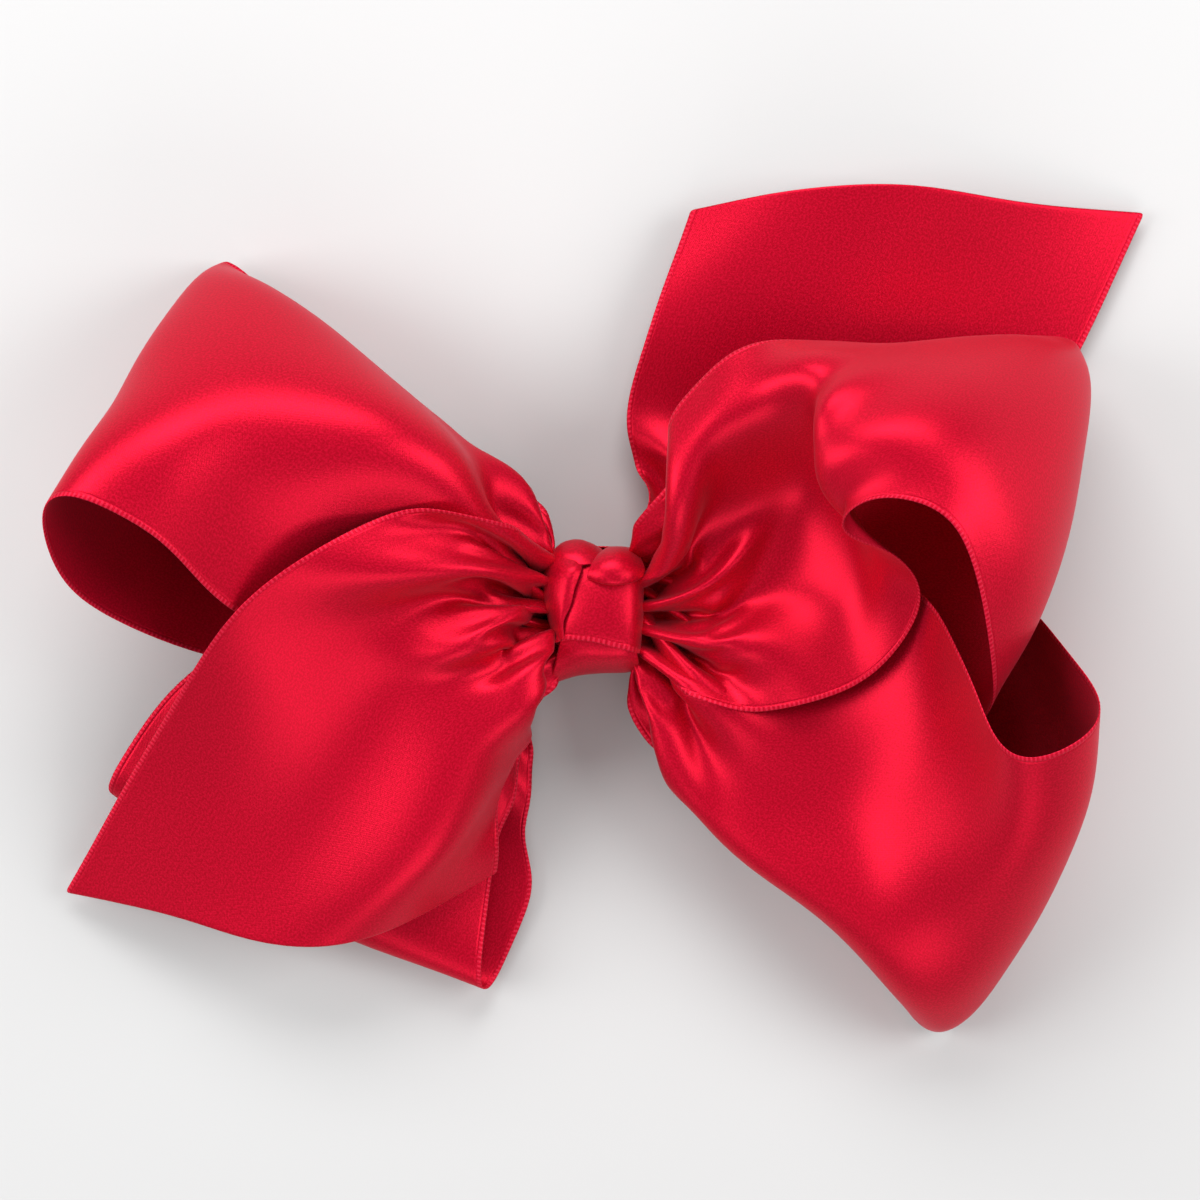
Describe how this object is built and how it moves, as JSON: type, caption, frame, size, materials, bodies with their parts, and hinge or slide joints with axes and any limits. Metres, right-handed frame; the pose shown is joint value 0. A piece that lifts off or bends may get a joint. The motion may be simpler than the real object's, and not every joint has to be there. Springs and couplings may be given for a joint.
{
  "type": "hair bow",
  "caption": "Large twisted satin ribbon bow with loops, tails and a knotted centre on a sprung alligator hair clip.",
  "frame": {"origin": "on the flat back of the clip's lower jaw, directly under the centre of the knot", "axes": "+X towards the wearer's left along the bow's width and the clip's nose, +Y up towards the rear tail, +Z out of the front of the bow"},
  "size_m": [0.1941, 0.1531, 0.0604],
  "materials": {
    "satin_red": "glossy double-faced satin, picot selvages",
    "knot_satin": "glossy satin, narrower ribbon",
    "lining_satin": "satin lining ribbon",
    "thread_red": "waxed sewing thread",
    "hot_glue": "set hot-melt glue",
    "clip_steel": "nickel-plated steel strip",
    "pin_steel": "drawn steel pin",
    "spring_steel": "spring wire",
    "silicone": "soft translucent grip pad"
  },
  "bodies": {
    "bow": {"upper_left_loop": "satin_red", "lower_left_loop": "satin_red", "upper_right_loop": "satin_red", "lower_right_loop": "satin_red", "front_tail": "satin_red", "rear_tail": "satin_red", "gathered_centre": "satin_red", "cinch_thread": "thread_red", "knot_front_pass": "knot_satin", "knot_side_fold": "knot_satin", "knot_lower_pass": "knot_satin", "knot_top_fold_left": "knot_satin", "knot_top_fold_right": "knot_satin", "knot_back_pass": "knot_satin", "knot_glue": "hot_glue", "clip_glue": "hot_glue", "clip_upper_arm": "clip_steel", "clip_lining": "lining_satin", "clip_pivot_pin": "pin_steel", "clip_spring": "spring_steel", "clip_grip_pad": "silicone"},
    "lower_jaw": {"clip_lower_jaw": "clip_steel"}
  },
  "joints": [
    {"name": "clip_hinge", "type": "hinge", "parent": "bow", "child": "lower_jaw", "pos_m": [-0.0145, 0, 0.0032], "axis": [0, 1, 0], "range_deg": [0, 30], "stiffness_Nm_per_rad": 0.1, "springref_deg": -57.3}
  ]
}
